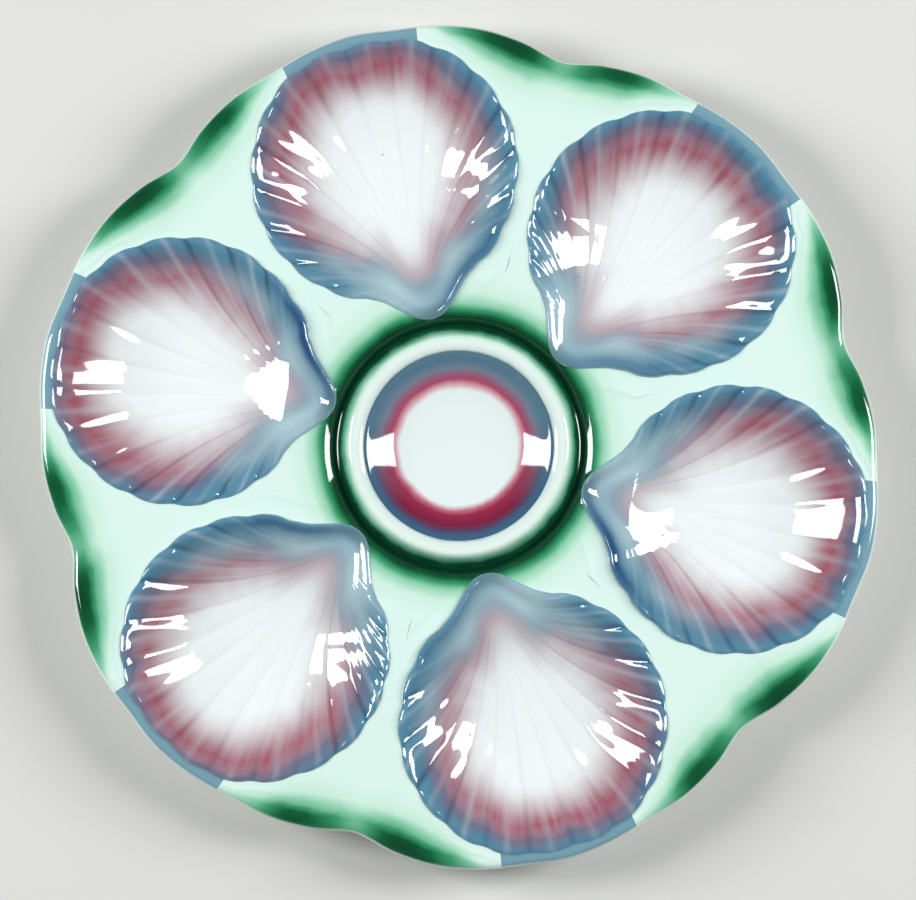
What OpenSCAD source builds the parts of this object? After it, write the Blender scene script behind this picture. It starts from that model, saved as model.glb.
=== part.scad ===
// Oyster plate with six scallop-shell wells round a sauce cup, in glazed earthenware.
// It lies face up: its foot stands on z = 0 and its centre is on the z axis.

/* [Plate] */
// Diameter over the lobes of the rim
plate_d = 240; // [215:5:280]
// How deep each notch cuts into the rim
notch_depth = 7.4; // [2:0.2:10]
// Thickness of the pottery, measured upright
wall = 4.6; // [3.6:0.2:6]
// Width of the rounded edge, seen from above
edge_w = 2.2; // [1.4:0.2:3.2]
// Rise of the rim above the web at the middle of the wells
rim_rise = 2.4; // [1:0.2:7]
// Fall of the web from the middle of the wells to the groove round the centre
web_fall = 3.2; // [1:0.2:5]

/* [Shell wells] */
// Depth of a well below the web
well_depth = 11; // [8:0.5:15]
// Narrowest web between two wells
web_w = 5.4; // [3:0.2:10]
// Land left between the top of a fan and the rounded edge
land_w = 1; // [0.8:0.2:6]
// Ribs round one shell, counting those that fade out at its beak
rib_count = 19; // [12:1:22]
// Half the height from a groove to the crest of a rib
rib_h = 0.5; // [0.2:0.05:1]
// How far a rib pushes the outline of the shell out and in
scallop = 0.3; // [0:0.05:0.6]
// Greatest height of the lip above the web
lip_h = 1.8; // [0.6:0.2:3]
// Distance from the crest of the lip to the outline
lip_w = 2.2; // [1:0.2:2.8]
// Gap between the tip of a beak and the centre ring
beak_gap = 2; // [0.6:0.2:5]
// Distance from the tip of a beak to the point where the ribs meet
hinge_in = 6; // [4.5:0.5:9]
// Lean of the beak away from the middle line of its shell, in degrees
beak_lean = 3.4; // [-8:0.2:8]

/* [Centre] */
// Diameter of the sauce cup inside its ring
cup_d = 53.6; // [44:0.4:62]
// Depth of the sauce cup below its edge
cup_depth = 6; // [4:0.5:10]
// Width of the raised ring
ring_w = 7.8; // [5:0.2:10]
// Height of the ring above the groove round it
ring_h = 4.4; // [2:0.2:7]
// Step from the crest of the ring down to the edge of the cup
cup_step = 1.2; // [0.4:0.2:2]
// Depth of the groove round the ring
groove_depth = 2; // [0.6:0.2:3]
// Width over which the groove fades into the web
groove_w = 6; // [3:0.5:10]

/* [Foot] */
// Diameter of the foot, at the middle of its face
foot_d = 115; // [90:1:150]
// Width of the face that the plate stands on
foot_w = 3; // [2:0.2:6]
// Height of the wells and the cup above the table
foot_clear = 3.2; // [2:0.2:6]
// Draft of the sides of the foot, in degrees
foot_draft = 10; // [4:1:20]
// Bevel along the corners of the face
foot_bevel = 0.5; // [0.2:0.1:0.9]

/* [Hidden] */
$fn = 96;

// The six wells stand round the plate at equal angles, the first at its upper right.
well_count = 6;
well_pitch = 360 / well_count;
first_well = 45;

// Drop of the rim from lobe to notch, in equal steps round one lobe from notch to notch
notch_shares = [1, 0.57, 0.24, 0.11, 0.11, 0, 0.1, 0.3, 0.38, 0.64];
// Radius of a shell about its middle, in equal steps round it from its right-hand side
shell_shares = [0.995, 1.018, 1.03, 1, 1.03, 1.01, 0.992, 0.966, 0.936, 0.895, 0.945, 0.958];
// The two places in that list where neighbouring wells come closest
right_side = 11;
left_side = 7;
// Rings of the ribbed surface, from the hinge out to the crest of the lip
ring_shares = [0.1, 0.19, 0.3, 0.44, 0.6, 0.75, 0.88, 1];
// Rings of the smooth underside, from the outline in to its middle
under_shares = [0.75, 0.4];

// Radii, from the centre out
cup_r = cup_d / 2;
ring_r = cup_r + ring_w;
plate_r = plate_d / 2;
inner_r = plate_r - edge_w;
fan_top = inner_r - land_w;
// The wells fill the room between the webs at their sides and the edge at their tops.
side_share = shell_shares[right_side] + shell_shares[left_side];
spread = 2 * sin(well_pitch / 2);
shell_r = (fan_top * spread - web_w) / (side_share + spread);
pitch_r = fan_top - shell_r;
foot_r = foot_d / 2;

// Heights, from the table up
floor_z = foot_clear + wall;
web_z = floor_z + well_depth;
rim_z = web_z + rim_rise;
groove_z = web_z - web_fall - groove_depth;
crest_z = groove_z + ring_h;
cup_edge_z = crest_z - cup_step;
cup_floor_z = cup_edge_z - cup_depth;
// Cutters reach past what they cut by this much.
overrun = 1;
cut_top = rim_z + overrun;

// Steps of the curves
section_steps = 14;
ring_steps = 8;
cup_steps = 16;
cup_step_power = 0.6;
nose_steps = 6;
lobe_steps = 24;
rib_steps = 4;
outline_steps = rib_count * rib_steps;

// Curvature of the web, the bowls and the ribs
rise_power = 1.7;
fall_power = 1.5;
bowl_power = 2.4;
under_power = 2.8;
shelf_power = 4.2;
shelf_round = 4.6;
shelf_share = 0.98;
shelf_blend = 0.08;
rib_fade_power = 2.4;
rib_room_power = 1.5;
rib_room_share = 1.2;
groove_share = 0.25;
fan_bend = 24;

// The beak bulges out of the fan over this half angle.
beak_angle = beak_lean - 90;
beak_span = 24;
// Towards the beak the bowl climbs early and flattens into a shelf, at this share of the
// shell's radius. It climbs in two slopes with a soft fold between them. Their mean turn away
// from the beak is greater on the lip's side, by twice the lean.
shelf_reach = 0.89;
shelf_turn = 7;
shelf_lean = 7;
shelf_fold = 6.5;
shelf_h = shelf_share * (web_height(ring_r + beak_gap) - floor_z);
// The ribs are soft at the top of the fan, and fade out on the flank below the lip.
rib_top_share = 0.55;
calm_angle = beak_angle + 26;
calm_span = 42;
// The lip stands highest on the flank beside the beak, and sinks to a share of that elsewhere.
lip_angle = beak_angle + 38;
lip_span = 62;
lip_low_share = 0.3;
lip_foot_share = 0.4;
// Rise of the cup's floor and of its wall, as shares of its depth, and where the wall stands
cup_dish_share = 0.14;
cup_dish_power = 2;
cup_wall_share = 0.6;
cup_wall_power = 5.6;
cup_throat_share = 0.84;
// A higher power leaves less of a shoulder between the cup's wall and its edge.
cup_round = 4;
// The ring is highest at this share of its width, and hollow underneath by a share of the wall.
ring_crest_share = 0.45;
ring_hollow_share = 0.5;

// Smooth closed curve through a list of shares, at a turn from 0 to 1
function spline_at(shares, turn) =
    let (
        n = len(shares),
        place = (turn - floor(turn)) * n,
        i = floor(place),
        f = place - i,
        a = shares[(i + n - 1) % n],
        b = shares[i % n],
        c = shares[(i + 1) % n],
        d = shares[(i + 2) % n]
    )
    b + f / 2 * (c - a + f * (2 * a - 5 * b + 4 * c - d + f * (3 * (b - c) + d - a)));

// Angle brought between -180 and 180
function near_zero(angle) = angle - 360 * round(angle / 360);

// Smooth hump of height 1 about a middle angle
function bell(angle, middle, span) =
    let (off = abs(near_zero(angle - middle)))
    off < span ? pow(cos(90 * off / span), 2) : 0;

// The higher of two values, rounded where they cross
function smooth_max(a, b, blend) =
    let (near = max(blend - abs(a - b), 0) / blend)
    max(a, b) + near * near * blend / 4;

function heading(angle) = [cos(angle), sin(angle)];

// Radius of the rim at an angle round the plate
function rim_r(angle) =
    plate_r - notch_depth * spline_at(notch_shares, (angle - first_well) / well_pitch + 0.5);

// Height of the web at a radius: it rises to the rim, and falls to the groove round the centre
function web_height(r) =
    r > pitch_r
    ? web_z + rim_rise * pow((r - pitch_r) / (inner_r - pitch_r), rise_power)
    : web_z - web_fall * pow((pitch_r - r) / (pitch_r - ring_r), fall_power)
        - groove_depth * pow(max(0, 1 - (r - ring_r) / groove_w), 2);

// Points down the web, from the centre ring out past the rim
function web_line(lift) =
    [for (i = [0 : section_steps])
        let (r = ring_r + (plate_r - ring_r) * i / section_steps)
        [r, web_height(r) + lift]];

function reversed(points) = [for (i = [len(points) - 1 : -1 : 0]) points[i]];

// A shell is drawn with its beak towards the centre of the plate and its middle line along y.
shell_middle = [0, pitch_r];
beak_reach = (pitch_r - ring_r - beak_gap) / cos(beak_lean);
beak_out = beak_reach - shell_r * spline_at(shell_shares, beak_angle / 360);
hinge = shell_middle + (beak_reach - hinge_in) * heading(beak_angle);

// Rib wave at an angle about the middle of the shell: broad crests and narrow grooves
function rib_wave(angle) =
    let (phase = rib_count * (angle - beak_angle))
    cos(phase) - groove_share * cos(2 * phase);

// Outline of the shell
function edge_r(angle) =
    let (beak = bell(angle, beak_angle, beak_span))
    shell_r * spline_at(shell_shares, angle / 360) + beak_out * beak
        + scallop * rib_wave(angle) * (1 - beak);
function edge_point(angle) = shell_middle + edge_r(angle) * heading(angle);
function edge_angle(i) = beak_angle + 360 * i / outline_steps;
function edge_web(angle) = web_height(norm(edge_point(angle)));
function lip_height(angle) =
    lip_h * (lip_low_share + (1 - lip_low_share) * bell(angle, lip_angle, lip_span));

// Ribs are gone at the beak and on the calm flank beside it.
function rib_strength(angle) =
    let (
        flank = rib_top_share + (1 - rib_top_share) * pow(cos(angle), 2),
        calm = max(bell(angle, beak_angle, beak_span), bell(angle, calm_angle, calm_span))
    )
    flank * (1 - calm);

// Height of the shelf at an angle and a distance from the middle: it climbs from the floor
// in an S and then stays level
function shelf_z(angle, distance) =
    let (
        off = near_zero(angle - beak_angle),
        folded = sqrt(off * off + shelf_fold * shelf_fold),
        turn = shelf_turn + shelf_lean * off / folded,
        way = max(0, min(1, distance * cos(folded - turn) / (shelf_reach * shell_r)))
    )
    floor_z + shelf_h * (1 - pow(1 - pow(way, shelf_power), shelf_round));

// Smooth bowl without its ribs
function bowl_z(point) =
    let (
        from_middle = point - shell_middle,
        angle = atan2(from_middle.y, from_middle.x),
        share = min(1, norm(from_middle) / (edge_r(angle) - lip_w)),
        top = edge_web(angle) + lip_height(angle)
    )
    smooth_max(
        floor_z + (top - floor_z) * pow(share, bowl_power),
        shelf_z(angle, norm(from_middle)),
        shelf_blend * well_depth
    );

// Point at a share of the way along a rib, which bends outwards from the hinge to the lip
function rib_point(angle, share) =
    let (
        ray = edge_point(angle) - hinge,
        fan = near_zero(atan2(ray.y, ray.x) - beak_angle - 180),
        out = share * (norm(ray) - lip_w),
        turned = fan - fan_bend * (1 - share) * sin(fan),
        flat = hinge + out * heading(turned + beak_angle + 180),
        wave = rib_wave(angle) * rib_strength(angle),
        room = min(1, out / (rib_room_share * shell_r)),
        fade = pow(share, rib_fade_power) * pow(room, rib_room_power)
    )
    [flat.x, flat.y, bowl_z(flat) + rib_h * wave * fade];

// Smooth underside, level with the back of the web along the outline
function under_point(angle, share) =
    let (
        flat = shell_middle + share * edge_r(angle) * heading(angle),
        top = edge_web(angle)
    )
    [flat.x, flat.y, floor_z - wall + (top - floor_z) * pow(share, under_power)];

function raised(point, z) = [point.x, point.y, z];
function edge_ring(heights) =
    [for (i = [0 : outline_steps - 1]) raised(edge_point(edge_angle(i)), heights[i])];

under_rings = [for (share = concat([1], under_shares))
    [for (i = [0 : outline_steps - 1]) under_point(edge_angle(i), share)]];
under_middle = raised(shell_middle, floor_z - wall);
rib_rings = [for (share = ring_shares)
    [for (i = [0 : outline_steps - 1]) rib_point(edge_angle(i), share)]];
lip_feet = [for (i = [0 : outline_steps - 1])
    edge_web(edge_angle(i)) + lip_foot_share * lip_height(edge_angle(i))];
level_top = [for (i = [0 : outline_steps - 1]) cut_top];

function outline() = [for (i = [0 : outline_steps - 1]) edge_point(edge_angle(i))];

// Solid through a stack of rings, closed by one point above and one point below
module ring_stack(top, rings, bottom) {
    n = len(rings[0]);
    m = len(rings);
    last = n * m + 1;
    points = concat([top], [for (ring = rings) each ring], [bottom]);
    sides = [for (j = [0 : m - 2], i = [0 : n - 1])
        let (
            k = (i + 1) % n,
            a = 1 + j * n,
            b = a + n
        )
        each [[a + i, a + k, b + k], [a + i, b + k, b + i]]];
    caps = [for (i = [0 : n - 1])
        let (
            k = (i + 1) % n,
            a = 1 + (m - 1) * n
        )
        each [[0, 1 + k, 1 + i], [a + i, a + k, last]]];
    polyhedron(points, concat(sides, caps));
}

// Solid round a closed loop of like sections
module closed_loft(sections) {
    n = len(sections[0]);
    m = len(sections);
    faces = [for (j = [0 : m - 1], i = [0 : n - 1])
        let (
            k = (i + 1) % n,
            a = j * n,
            b = (j + 1) % m * n
        )
        each [[a + i, b + i, b + k], [a + i, b + k, a + k]]];
    polyhedron([for (section = sections) each section], faces);
}

// Turns a drawn shell to its place round the plate
module at_well(number) {
    rotate([0, 0, first_well + well_pitch * (number - 1) - 90])
        children();
}

// Web of the dish, with an opening for each well
module ground() {
    color("#d3f3e2")
        difference() {
            intersection() {
                rotate_extrude()
                    polygon(concat(web_line(0), reversed(web_line(-wall))));
                linear_extrude(cut_top)
                    polygon([for (section = edge_sections()) [section[0].x, section[0].y]]);
            }
            for (number = [1 : well_count])
                at_well(number)
                    translate([0, 0, -overrun])
                        linear_extrude(cut_top + 2 * overrun)
                            polygon(outline());
        }
}

// Sections of the rounded edge, each from the top of its inner side round the nose to the bottom
function edge_sections() =
    [for (i = [0 : well_count * lobe_steps - 1])
        let (
            angle = first_well + well_pitch * i / lobe_steps,
            inner = rim_r(angle) - edge_w,
            middle = web_height(inner) - wall / 2
        )
        [for (j = [0 : nose_steps])
            let (
                lean = 90 - 180 * j / nose_steps,
                out = inner + edge_w * cos(lean)
            )
            raised(out * heading(angle), middle + wall / 2 * sin(lean))]];

// Rounded edge of the dish
module rim_edge() {
    color("#f2fbf6")
        closed_loft(edge_sections());
}

// One oyster well: a ribbed scallop shell, smooth underneath
module shell_well(number) {
    color("#8fb4c8")
        at_well(number)
            ring_stack(
                raised(hinge, bowl_z(hinge)),
                concat(rib_rings, [edge_ring(lip_feet)], under_rings),
                under_middle
            );
}

// Raised ring about the sauce cup, hollow underneath
module cup_ring() {
    crest_r = cup_r + ring_w * ring_crest_share;
    inner_side = [for (i = [0 : ring_steps])
        [cup_r + (crest_r - cup_r) * i / ring_steps,
         cup_edge_z + cup_step * sin(90 * i / ring_steps)]];
    outer_side = [for (i = [1 : ring_steps])
        [crest_r + (ring_r - crest_r) * i / ring_steps,
         groove_z + ring_h * (1 + cos(180 * i / ring_steps)) / 2]];
    under_side = [for (i = [0 : ring_steps])
        [ring_r - ring_w * i / ring_steps,
         groove_z - wall + wall * ring_hollow_share * sin(180 * i / ring_steps)]];
    color("#ecfaf3")
        rotate_extrude()
            polygon(concat(inner_side, outer_side, under_side));
}

// Rise of the cup at a share of its radius: a shallow dish, a wall and a rounded shoulder
function cup_climb(share) =
    let (
        climb = cup_dish_share * pow(share, cup_dish_power)
            + cup_wall_share * pow(share / cup_throat_share, cup_wall_power)
    )
    climb / pow(1 + pow(climb, cup_round), 1 / cup_round);
function cup_rise(share) = cup_climb(share) / cup_climb(1);

// Steps out from the middle of the cup, closer together towards its wall
function cup_share(i) = pow(i / cup_steps, cup_step_power);

// Round cup in the centre
module sauce_cup() {
    inside = [for (i = [0 : cup_steps])
        [cup_r * cup_share(i),
         cup_floor_z + cup_depth * cup_rise(cup_share(i))]];
    underneath = [for (i = [cup_steps : -1 : 0])
        [cup_r * cup_share(i),
         cup_floor_z - wall + (groove_z - cup_floor_z) * cup_rise(cup_share(i))]];
    color("#9c2c4c")
        rotate_extrude()
            polygon(concat(inside, underneath));
}

// Foot, cut to the back of the web and of the wells that it runs under
module foot_ring() {
    half = foot_w / 2;
    flare = web_z * tan(foot_draft);
    color("#e9e2d2")
        difference() {
            rotate_extrude()
                polygon([
                    [foot_r - half + foot_bevel, 0],
                    [foot_r + half - foot_bevel, 0],
                    [foot_r + half, foot_bevel],
                    [foot_r + half + flare, web_z],
                    [foot_r - half - flare, web_z],
                    [foot_r - half, foot_bevel]
                ]);
            rotate_extrude()
                polygon(concat(web_line(-wall), [[plate_r, cut_top], [ring_r, cut_top]]));
            for (number = [1 : well_count])
                at_well(number)
                    ring_stack(
                        raised(shell_middle, cut_top),
                        concat([edge_ring(level_top)], under_rings),
                        under_middle
                    );
        }
}

ground();
rim_edge();
shell_well(1);  // shell_well_1
shell_well(2);  // shell_well_2
shell_well(3);  // shell_well_3
shell_well(4);  // shell_well_4
shell_well(5);  // shell_well_5
shell_well(6);  // shell_well_6
cup_ring();
sauce_cup();
foot_ring();
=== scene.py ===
import math

import bpy
import numpy as np
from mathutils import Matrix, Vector


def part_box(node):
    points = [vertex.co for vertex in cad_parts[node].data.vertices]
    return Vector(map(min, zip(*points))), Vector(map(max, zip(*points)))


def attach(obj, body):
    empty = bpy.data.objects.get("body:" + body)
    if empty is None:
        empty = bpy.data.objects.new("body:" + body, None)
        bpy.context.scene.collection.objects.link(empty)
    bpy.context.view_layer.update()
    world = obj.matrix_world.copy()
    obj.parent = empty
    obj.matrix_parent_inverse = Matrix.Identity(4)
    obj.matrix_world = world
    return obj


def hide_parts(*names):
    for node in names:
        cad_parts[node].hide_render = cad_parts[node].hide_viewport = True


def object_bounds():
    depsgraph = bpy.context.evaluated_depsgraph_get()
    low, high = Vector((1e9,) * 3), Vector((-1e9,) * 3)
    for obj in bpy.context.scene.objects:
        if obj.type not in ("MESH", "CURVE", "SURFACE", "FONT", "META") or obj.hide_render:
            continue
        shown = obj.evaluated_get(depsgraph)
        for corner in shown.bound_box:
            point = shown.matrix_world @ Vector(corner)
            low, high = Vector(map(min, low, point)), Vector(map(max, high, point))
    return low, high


# Oyster plate: six scallop-shell wells round a sauce cup, in lead-glazed earthenware
# with airbrushed colours. Sizes are millimetres until a mesh is made, then metres.
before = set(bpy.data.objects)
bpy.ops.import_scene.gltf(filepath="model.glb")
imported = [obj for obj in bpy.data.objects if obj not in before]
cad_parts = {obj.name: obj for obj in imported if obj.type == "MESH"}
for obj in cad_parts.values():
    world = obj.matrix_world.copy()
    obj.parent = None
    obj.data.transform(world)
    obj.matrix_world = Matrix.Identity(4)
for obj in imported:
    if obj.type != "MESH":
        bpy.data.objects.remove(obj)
cad_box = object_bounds()
MM = 0.001


def reach(node):
    """Farthest that a node of the frame lies from the plate's axis."""
    return max(v.co.xy.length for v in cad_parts[node].data.vertices) / MM


def level(node, corner):
    """Height of a node's lowest corner, 0, or its highest, 1."""
    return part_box(node)[corner].z / MM


# Sizes taken from the frame
plate_r = reach("rim_edge")
ring_r = reach("cup_ring")
cup_r = reach("sauce_cup")
under_z = level("shell_well_1", 0)
ring_top_z = level("cup_ring", 1)
cup_edge_z = level("sauce_cup", 1)
dish_top_z = cad_box[1][2] / MM

# Sizes of the dish. Its rim dips in at six notches, by shares in equal steps from one to the next.
wall = 4.6
edge_w = 2.2
rim_rise = 2.4
rise_power = 1.7
web_fall = 3.2
fall_power = 1.5
groove_depth = 2
groove_w = 4.2
notch_depth = 7.4
notch_shares = [1, 0.57, 0.24, 0.11, 0.11, 0, 0.1, 0.3, 0.38, 0.64]

# Sizes of the wells, and their place on the plate
well_count = 6
well_pitch = 360 / well_count
first_well = 45
well_depth = 11
web_w = 5.4
land_w = 1
bowl_power = 2.4
under_power = 2.8
# The outline of a shell, as shares of its radius in equal steps round it, with a scalloped edge
# and a beak that leans to one side
shell_shares = [0.995, 1.018, 1.03, 1, 1.03, 1.01, 0.992, 0.966, 0.936, 0.895, 0.945, 0.958]
right_side = 11
left_side = 7
scallop = 0.3
beak_gap = 2
beak_lean = 3.4
beak_angle = beak_lean - 90
beak_span = 24
# Ribs that fan out from the hinge and bend on their way, and finer creases between them
hinge_in = 6
fan_bend = 24
rib_count = 19
rib_h = 0.5
rib_top_share = 0.55
groove_share = 0.25
rib_fade_power = 2.4
rib_room_power = 1.5
rib_room_share = 1.2
calm_angle = beak_angle + 26
calm_span = 42
crease_h = 0.3
crease_turns = 3
crease_angle = -135
crease_span = 60
# The rolled lip, highest beside the beak
lip_h = 1.8
lip_w = 2.2
lip_angle = beak_angle + 38
lip_span = 62
lip_low_share = 0.3
# The shelf that the floor climbs towards the beak
shelf_share = 0.98
shelf_reach = 0.89
shelf_power = 4.2
shelf_round = 4.6
shelf_blend = 0.08
shelf_turn = 7
shelf_lean = 7
shelf_fold = 6.5

# Sizes of the centre and the foot
cup_step = 1.2
ring_crest_share = 0.45
ring_hollow_share = 0.5
cup_depth = 6
cup_dish_share = 0.4
cup_dish_power = 1.8
cup_throat_share = 0.94
cup_wall_share = 0.56
cup_wall_power = 4.7
cup_round = 20
foot_r = 57.5
foot_w = 3
foot_draft = 10
foot_bevel = 0.5

# Where the pieces stand, worked out as the frame is
inner_r = plate_r - edge_w
ring_w = ring_r - cup_r
fan_top = inner_r - land_w
spread = 2 * math.sin(math.radians(well_pitch / 2))
side_share = shell_shares[right_side] + shell_shares[left_side]
shell_r = (fan_top * spread - web_w) / (side_share + spread)
pitch_r = fan_top - shell_r
floor_z = under_z + wall
cup_floor_z = cup_edge_z - cup_depth
cup_under_z = cup_floor_z - wall
web_z = floor_z + well_depth
groove_z = web_z - web_fall - groove_depth

# Small forms that glaze and mould leave: the bead in the lip's corner, the pool of glaze beside
# a shell, and how softly the lip's top is rounded off
bead_blend = 0.9
pool_h = 0.12
pool_w = 0.7
top_blend = 0.3


def sind(angle):
    return np.sin(np.radians(angle))


def cosd(angle):
    return np.cos(np.radians(angle))


def spline_at(shares, turn):
    """Smooth closed curve through a list of shares, at turns counted in whole rounds."""
    values = np.array(shares, float)
    place = (turn - np.floor(turn)) * len(values)
    i = np.floor(place).astype(int)
    f = place - i
    a, b, c, d = (values[(i + k) % len(values)] for k in (-1, 0, 1, 2))
    return b + f / 2 * (c - a + f * (2 * a - 5 * b + 4 * c - d + f * (3 * (b - c) + d - a)))


def near_zero(angle):
    """Angle brought between -180 and 180."""
    return angle - 360 * np.round(angle / 360)


def bell(angle, middle, span):
    """Smooth hump of height 1 about a middle angle."""
    off = np.minimum(np.abs(near_zero(angle - middle)), span)
    return cosd(90 * off / span) ** 2


def smooth_min(a, b, blend):
    """The lower of two heights, rounded where they cross."""
    near = np.maximum(blend - np.abs(a - b), 0) / blend
    return np.minimum(a, b) - near * near * blend / 4


def rim_r(angle):
    """Radius of the rim at an angle round the plate."""
    turn = (angle - first_well) / well_pitch + 0.5
    return plate_r - notch_depth * spline_at(notch_shares, turn)


def web_height(r):
    """Height of the web: it rises to the rim, and falls to the groove round the centre."""
    out = np.maximum(r - pitch_r, 0) / (inner_r - pitch_r)
    inward = np.clip((pitch_r - r) / (pitch_r - ring_r), 0, None)
    groove = np.clip(1 - (r - ring_r) / groove_w, 0, 1) ** 2
    slopes = web_z + rim_rise * out ** rise_power - web_fall * inward ** fall_power
    return slopes - groove_depth * groove


# A shell is drawn with its beak towards the centre of the plate and its middle line along y.
beak_reach = (pitch_r - ring_r - beak_gap) / cosd(beak_lean)
beak_out = beak_reach - shell_r * float(spline_at(shell_shares, np.array(beak_angle / 360)))
hinge_x = (beak_reach - hinge_in) * cosd(beak_angle)
hinge_y = pitch_r + (beak_reach - hinge_in) * sind(beak_angle)


def rib_wave(angle):
    """Broad crests and narrow grooves, at an angle about the middle of the shell."""
    phase = rib_count * (angle - beak_angle)
    return cosd(phase) - groove_share * cosd(2 * phase)


def crease_wave(angle):
    """The finer creases between the ribs, on the flank across from the lip."""
    waves = cosd(crease_turns * rib_count * (angle - beak_angle))
    return waves * bell(angle, crease_angle, crease_span)


def edge_r(angle):
    """Outline of a shell about its middle."""
    beak = bell(angle, beak_angle, beak_span)
    smooth = shell_r * spline_at(shell_shares, angle / 360) + beak_out * beak
    return smooth + scallop * rib_wave(angle) * (1 - beak)


def edge_web(angle):
    """Height of the web where it meets the outline."""
    return web_height(np.hypot(edge_r(angle) * cosd(angle), pitch_r + edge_r(angle) * sind(angle)))


def lip_height(angle):
    """How far the lip stands over the web."""
    return lip_h * (lip_low_share + (1 - lip_low_share) * bell(angle, lip_angle, lip_span))


def rib_strength(angle):
    """The ribs are bold on the flanks, softer at the top of the fan and gone at the beak."""
    flank = rib_top_share + (1 - rib_top_share) * cosd(angle) ** 2
    calm = np.maximum(bell(angle, beak_angle, beak_span), bell(angle, calm_angle, calm_span))
    return flank * (1 - calm)


def pool(distance):
    """Glaze that gathers in the corner between the web and a shell."""
    return pool_h * np.exp(-distance / pool_w)


def shelf_height(angle, from_middle):
    """Towards the beak the floor climbs in two S slopes, folded along the beak, and then
    stays level."""
    off = near_zero(angle - beak_angle)
    folded = np.sqrt(off ** 2 + shelf_fold ** 2)
    turn = shelf_turn + shelf_lean * off / folded
    way = np.clip(from_middle * cosd(folded - turn) / (shelf_reach * shell_r), 0, 1)
    climb = 1 - (1 - way ** shelf_power) ** shelf_round
    return floor_z + shelf_share * (web_height(ring_r + beak_gap) - floor_z) * climb


def well_top(x, y, rib_angle, out, share):
    """Height of the inside of a well, and the distance inside its outline, at a point that lies
    so far out from the hinge, at that share of the rib that leaves it at the rib angle."""
    angle = np.degrees(np.arctan2(y - pitch_r, x))
    from_middle = np.hypot(x, y - pitch_r)
    inside = np.maximum(edge_r(angle) - from_middle, 0)
    top = edge_web(angle) + lip_height(angle)
    bowl_share = from_middle / (edge_r(angle) - lip_w)
    bowl = floor_z + (top - floor_z) * bowl_share ** bowl_power
    bowl = -smooth_min(-bowl, -shelf_height(angle, from_middle), shelf_blend * well_depth)
    room = np.minimum(out / (rib_room_share * shell_r), 1)
    ribs = rib_h * rib_wave(rib_angle) * rib_strength(rib_angle) + crease_h * crease_wave(rib_angle)
    ribs = ribs * (share ** rib_fade_power * room ** rib_room_power)
    beyond = np.clip(1 - inside / lip_w, 0, 1)
    roll = edge_web(angle) + pool_h + (lip_height(angle) + bead_blend / 4) * np.sqrt(1 - beyond * beyond)
    fade = np.clip(inside / lip_w, 0, 1)
    height = smooth_min(bowl + ribs, roll + ribs * fade, bead_blend)
    return smooth_min(height, dish_top_z, top_blend), inside


def under_height(x, y):
    """Height of the back of the plate at a point in a shell's frame."""
    angle = np.degrees(np.arctan2(y - pitch_r, x))
    share = np.hypot(x, y - pitch_r) / edge_r(angle)
    shell = under_z + (edge_web(angle) - floor_z) * np.minimum(share, 1) ** under_power
    return np.where(share < 1, shell, web_height(np.hypot(x, y)) - wall)


# Each shell stands in its own sixth of the plate, from the ring out to the rim's inner side.
half_pitch = well_pitch / 2
notch_r = float(rim_r(np.array(first_well + half_pitch))) - edge_w
corner_clearance = 0.45
halvings = 50


def corner_direction(radius):
    """Direction of a corner of a shell's sixth of the plate, from the middle of the shell."""
    return math.degrees(math.atan2(radius * cosd(half_pitch) - pitch_r, radius * sind(half_pitch)))


def ray_angles():
    """Directions from the middle of a shell: whole degrees, and the corners of its sixth."""
    corners = []
    for radius in (ring_r, notch_r):
        right = corner_direction(radius) % 360
        corners += [right, (180 - right) % 360]

    def clear(angle):
        nearest = min(abs(near_zero(np.array(angle - corner))) for corner in corners)
        return nearest > corner_clearance

    return np.array(sorted([angle for angle in range(360) if clear(angle)] + corners))


def plate_angle(x, y):
    """Angle round the plate of a point in the first shell's frame."""
    return np.degrees(np.arctan2(y, x)) + first_well - 90


def sector_edge(angle):
    """Distance from the middle of a shell to the edge of its sixth of the plate."""
    slope = math.tan(math.radians(half_pitch))
    least = 1e-9
    sides = []
    for across in (cosd(angle), -cosd(angle)):
        lean = across - sind(angle) * slope
        sides.append(np.where(lean > least, pitch_r * slope / np.maximum(lean, least), np.inf))
    under_root = ring_r ** 2 - (pitch_r * cosd(angle)) ** 2
    facing = (under_root >= 0) & (sind(angle) < 0)
    ring = np.where(facing, -pitch_r * sind(angle) - np.sqrt(np.maximum(under_root, 0)), np.inf)
    near = np.zeros_like(angle)
    far = np.full_like(angle, plate_r)
    for _ in range(halvings):
        half = (near + far) / 2
        x, y = half * cosd(angle), pitch_r + half * sind(angle)
        inside = np.hypot(x, y) < rim_r(plate_angle(x, y)) - edge_w
        near = np.where(inside, half, near)
        far = np.where(inside, far, half)
    return np.minimum.reduce(sides + [ring, near])


def rotated(points, number):
    """Points of a shell's frame, turned to the place of one well, counted from 0."""
    turn = math.radians(first_well + well_pitch * number - 90)
    c, s = math.cos(turn), math.sin(turn)
    x, y = points[:, 0], points[:, 1]
    return np.column_stack([c * x - s * y, s * x + c * y, points[:, 2]])


# Making a mesh
merge_mm = 0.0001
touch_mm = 0.001
sharp_edge = 40
spin_steps = 288


def alone(piece):
    """Selects one piece and nothing else."""
    bpy.ops.object.select_all(action="DESELECT")
    piece.select_set(True)
    bpy.context.view_layer.objects.active = piece


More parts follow.
